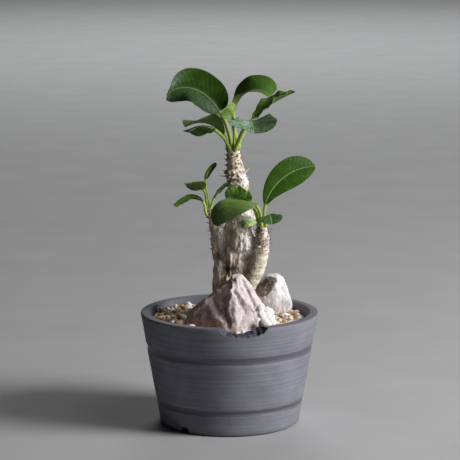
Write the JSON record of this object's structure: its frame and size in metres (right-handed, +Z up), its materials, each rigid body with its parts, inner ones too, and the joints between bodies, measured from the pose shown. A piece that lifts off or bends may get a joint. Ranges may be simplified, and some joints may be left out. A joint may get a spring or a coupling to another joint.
{
  "type": "potted pachypodium",
  "caption": "Small potted pachypodium: spiny branching trunk with glossy paddle-shaped leaves, set among rocks and gravel in a tapered unglazed clay pot.",
  "frame": {"origin": "on the pot's axis, at the level of the foot ring it stands on", "axes": "+Z up along the pot's axis and the plant's height; -Y is the front, where the rim is chipped"},
  "size_m": [0.0898, 0.0896, 0.1764],
  "materials": {
    "clay": "unglazed, matte, fine throwing lines",
    "soil": "dry, crumbly",
    "gravel": "matte grit",
    "rock_dark": "rough, matte",
    "rock_pale": "rough, matte",
    "bark": "fissured corky bark",
    "leaf": "satin, slightly glossy"
  },
  "bodies": {
    "root": {"pot": "clay", "soil": "soil", "gravel_top_dressing": "gravel", "rock_front": "rock_dark", "rock_back": "rock_pale", "trunk": "bark", "leaf_top_large": "leaf", "leaf_top_arched": "leaf", "leaf_top_narrow": "leaf", "leaf_top_forward": "leaf", "leaf_top_young": "leaf", "leaf_top_low_pale": "leaf", "leaf_top_lowest": "leaf", "leaf_left_upright": "leaf", "leaf_left_middle": "leaf", "leaf_left_drooping": "leaf", "leaf_left_inner": "leaf", "leaf_right_large": "leaf", "leaf_right_drooping": "leaf", "leaf_right_inner": "leaf", "leaf_right_small_pale": "leaf", "leaf_right_small_round": "leaf"}
  },
  "joints": []
}
